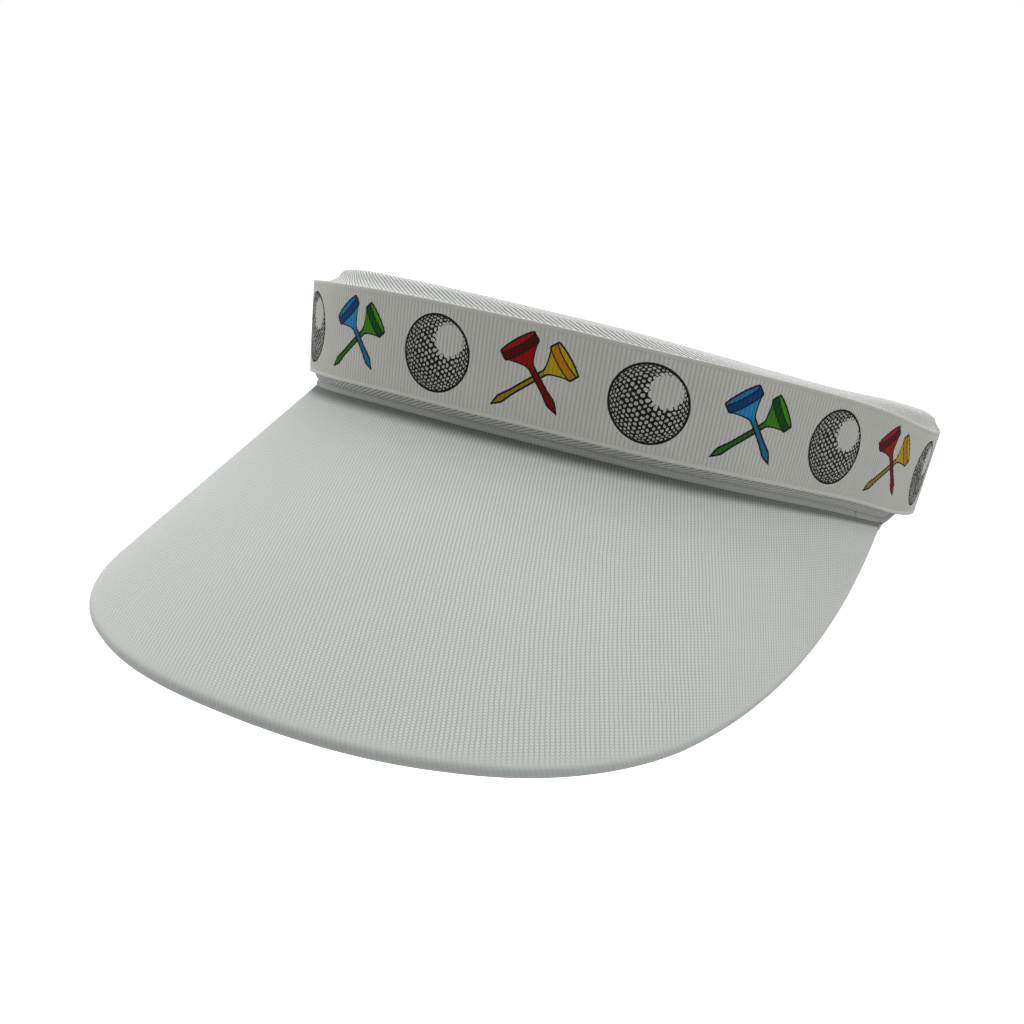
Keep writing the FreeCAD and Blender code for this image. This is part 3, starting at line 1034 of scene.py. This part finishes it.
def flatArea(length):
    return float((np.diff(brimAcross) * (length[1:, -1] + length[:-1, -1]) / 2).sum())


def brimPiece(name, top, uv, flip, node, fromLip, onRim):
    # fromLip and onRim tell the cloth's material where it lies in the lip's painted shade and where it turns
    cloth = gridPiece(name, top, uv, flip=flip)
    for label, values in (("fromLip", fromLip), ("onRim", onRim)):
        layer = cloth.data.attributes.new(label, "FLOAT", "POINT")
        layer.data.foreach_set("value", np.broadcast_to(values, uv.shape[:2]).ravel().astype(np.float32))
    thicken(cloth, brim["cloth"])
    paint(cloth, brimPaint)
    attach(cloth, "front")
    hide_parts(node)
    return cloth


brimPaint = brimMaterial()
first = root - ruling * brim["tuck"]
share = np.linspace(0, 1, brim["rows"])[None, :, None]
flatPart = first[:, None] * (1 - share) + rollCentre[:, None] * share
turns = np.linspace(0, math.pi, 15)[None, 1:, None]
rolled = rollCentre[:, None] + outward[:, None] * np.sin(turns) * rollRadius
rolled = rolled - normal[:, None] * (1 - np.cos(turns)) * rollRadius
hemShare = np.linspace(0, 1, 8)[None, 1:, None]
hemDepth = np.minimum(brim["hem"], brimLength(brimS) * 0.6)[:, None, None]
hemEnd = rolled[:, -1:] - outward[:, None] * hemDepth * hemShare
topPoints = np.concatenate([flatPart, rolled, hemEnd], 1)
topLength = lengthAlong(topPoints)
topUv = np.stack([np.broadcast_to(brimAcross[:, None], topLength.shape), topLength + brimAlong[:, None]], -1)
beforeRim = topLength[:, brim["rows"] - 1:brim["rows"]] - topLength
topOnRim = np.clip(1 - beforeRim / 2.5, 0, 1)
# the painted shade under the lip narrows towards the brim's ends
topFromLip = (topLength - brim["tuck"]) * (1 + 4 * (brimS[:, None] / band["brimReach"]) ** 4)
brimTop = brimPiece("brimTopCloth", topPoints, topUv, True, "brim_top_cloth", topFromLip, topOnRim)
print("brim cloth's flat area", round(flatArea(topLength)), "mm2")

# the lining of the brim's underside, turned up round the root and lying inside the hem
depth = brim["thickness"] + 0.02
inset = np.minimum(2.6, brimLength(brimS) * 0.45)[:, None]
under = rim + outward * (brim["spare"] - inset)
seat = (
    first - normal * 0.75, first - normal * 1.6 - ruling * 0.3, first - normal * 2.5 + ruling * 0.1,
    root - normal * (depth - 0.05) - ruling * 0.2, root - normal * (depth - 0.1) + ruling * 1.0,
)
lowPart = (root + ruling)[:, None] * (1 - share) + under[:, None] * share - normal[:, None] * (depth - 0.12)
underPoints = np.concatenate([np.stack(seat, 1), lowPart[:, 1:]], 1)
underLength = lengthAlong(underPoints)
underUv = np.stack([np.broadcast_to(brimAcross[:, None], underLength.shape),
                    underLength + brimAlong[:, None]], -1)
brimUnder = brimPiece("brimUnderCloth", underPoints, underUv, False, "brim_under_cloth", 20.0, 0.0)

# a row of stitches holds the hem on the underside
sewn = rim + outward * (brim["spare"] - brim["hemStitch"]) - normal * (depth + 0.02)
keep = brimLength(brimS) > 14
sewn = sewn[keep]
seamRun = np.concatenate([[0], np.cumsum(np.linalg.norm(np.diff(sewn, axis=0), axis=1))])
places = np.arange(1.0, seamRun[-1] - 1, thread["pitch"])
seats = np.stack([np.interp(places, seamRun, sewn[:, k]) for k in range(3)], 1)
runs = np.stack([np.interp(places, seamRun, rimStep[keep][:, k]) for k in range(3)], 1)
downs = np.stack([np.interp(places, seamRun, -normal[keep][:, k]) for k in range(3)], 1)
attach(stitchRow("brimHemStitches", seats, runs, downs), "front")
print("brim done")


# what stays of the frame: the brim's board and the spring strips, hidden inside

def plasticMaterial(name, colour, roughness):
    material, tree, shader = newMaterial(name, roughness)
    cloudy = grain(tree, objectPlace(tree), 140.0, 3.0)
    tree.links.new(mixColour(tree, cloudy, [c * 0.9 for c in colour], colour), shader.inputs["Base Color"])
    fine = grain(tree, objectPlace(tree), 2200.0, 2.0)
    emboss(tree, shader, fine, 0.02)
    return material


boardPaint = plasticMaterial("brimBoard", (0.62, 0.63, 0.62), 0.5)
stripPaint = plasticMaterial("springStrip", (0.10, 0.11, 0.12), 0.35)
foamPaint = plasticMaterial("foam", (0.55, 0.55, 0.5), 0.95)
for name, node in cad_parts.items():
    if name == "brim_board":
        paint(node, boardPaint)
    elif name.startswith("spring_strip"):
        paint(node, stripPaint)
    elif node.hide_render:
        paint(node, foamPaint)


# studio: a pale floor well below, soft light from above, behind and both sides

studio = {
    "floorDrop": 0.35,
    "world": 0.35,
    "boxes": (   # name, place from the middle of the visor, width, height, power
        ("topLight", (0, 0.03, 0.5), 0.5, 0.4, 1.5),
        ("backLight", (0, 0.75, 0.45), 1.0, 0.7, 4.0),
        ("leftLight", (-0.8, 0.05, 0.12), 0.8, 0.8, 2.5),
        ("rightLight", (0.8, 0.05, 0.12), 0.8, 0.8, 0.9),
    ),
}


def softBox(name, place, aim, width, height, power):
    lamp = bpy.data.lights.new(name, "AREA")
    lamp.shape = "RECTANGLE"
    lamp.size = width
    lamp.size_y = height
    lamp.energy = power
    holder = bpy.data.objects.new(name, lamp)
    holder.location = place
    holder.rotation_mode = "QUATERNION"
    holder.rotation_quaternion = (Vector(aim) - Vector(place)).to_track_quat("-Z", "Y")
    bpy.context.scene.collection.objects.link(holder)


centre = (cadLow + cadHigh) / 2
for name, place, width, height, power in studio["boxes"]:
    softBox(name, centre + Vector(place), centre, width, height, power)


def floorMaterial():
    material, tree, shader = newMaterial("studioFloor", 0.9)
    pale = mixColour(tree, grain(tree, objectPlace(tree), 3.0), (0.90, 0.90, 0.90), (0.92, 0.92, 0.92))
    tree.links.new(pale, shader.inputs["Base Color"])
    shader.inputs["Emission Color"].default_value = (1, 1, 1, 1)
    shader.inputs["Emission Strength"].default_value = 0.98
    return material


bpy.ops.object.select_all(action="DESELECT")
bpy.ops.mesh.primitive_plane_add(size=60, location=(0, 0, cadLow.z - studio["floorDrop"]))
floor = bpy.context.object
floor.name = "studioFloor"
paint(floor, floorMaterial())
floor.visible_diffuse = False   # it is seen, and throws no light back up
floor.visible_shadow = False

world = bpy.data.worlds.new("studio")
bpy.context.scene.world = world
world.use_nodes = True
sky = world.node_tree
backdrop = sky.nodes["Background"]
rays = sky.nodes.new("ShaderNodeLightPath")
seen = sky.nodes.new("ShaderNodeMix")
sky.links.new(rays.outputs["Is Camera Ray"], seen.inputs[0])
seen.inputs[2].default_value = studio["world"]
seen.inputs[3].default_value = 1.0
sky.links.new(seen.outputs[0], backdrop.inputs["Strength"])
backdrop.inputs["Color"].default_value = (1, 1, 1, 1)

# camera: low to the visor's left front, rolled, and shown in plain colours
view = {
    "azimuth": 25.42,
    "elevation": 13.26,
    "roll": 9.55,
    "distance": 354.7,
    "aside": -32.85,
    "above": -43.55,
    "lens": 46.15,
}
az, el, roll = (math.radians(view[k]) for k in ("azimuth", "elevation", "roll"))
back = Vector((math.sin(az) * math.cos(el), -math.cos(az) * math.cos(el), math.sin(el)))
level = Vector((math.cos(az), math.sin(az), 0))
upright = back.cross(level)
right = level * math.cos(roll) + upright * math.sin(roll)
up = upright * math.cos(roll) - level * math.sin(roll)
pivot = Vector((0, foreheadY + 90.0, 0))
cameraData = bpy.data.cameras.new("camera")
cameraData.lens = view["lens"]
cameraData.sensor_width = 36
cameraData.clip_start = 0.01
camera = bpy.data.objects.new("camera", cameraData)
camera.location = (pivot + back * view["distance"] + right * view["aside"] + up * view["above"]) * mm
camera.rotation_mode = "QUATERNION"
camera.rotation_quaternion = Matrix((right, up, back)).transposed().to_quaternion()
bpy.context.scene.collection.objects.link(camera)
bpy.context.scene.camera = camera
bpy.context.scene.view_settings.view_transform = "Standard"
print("studio done")
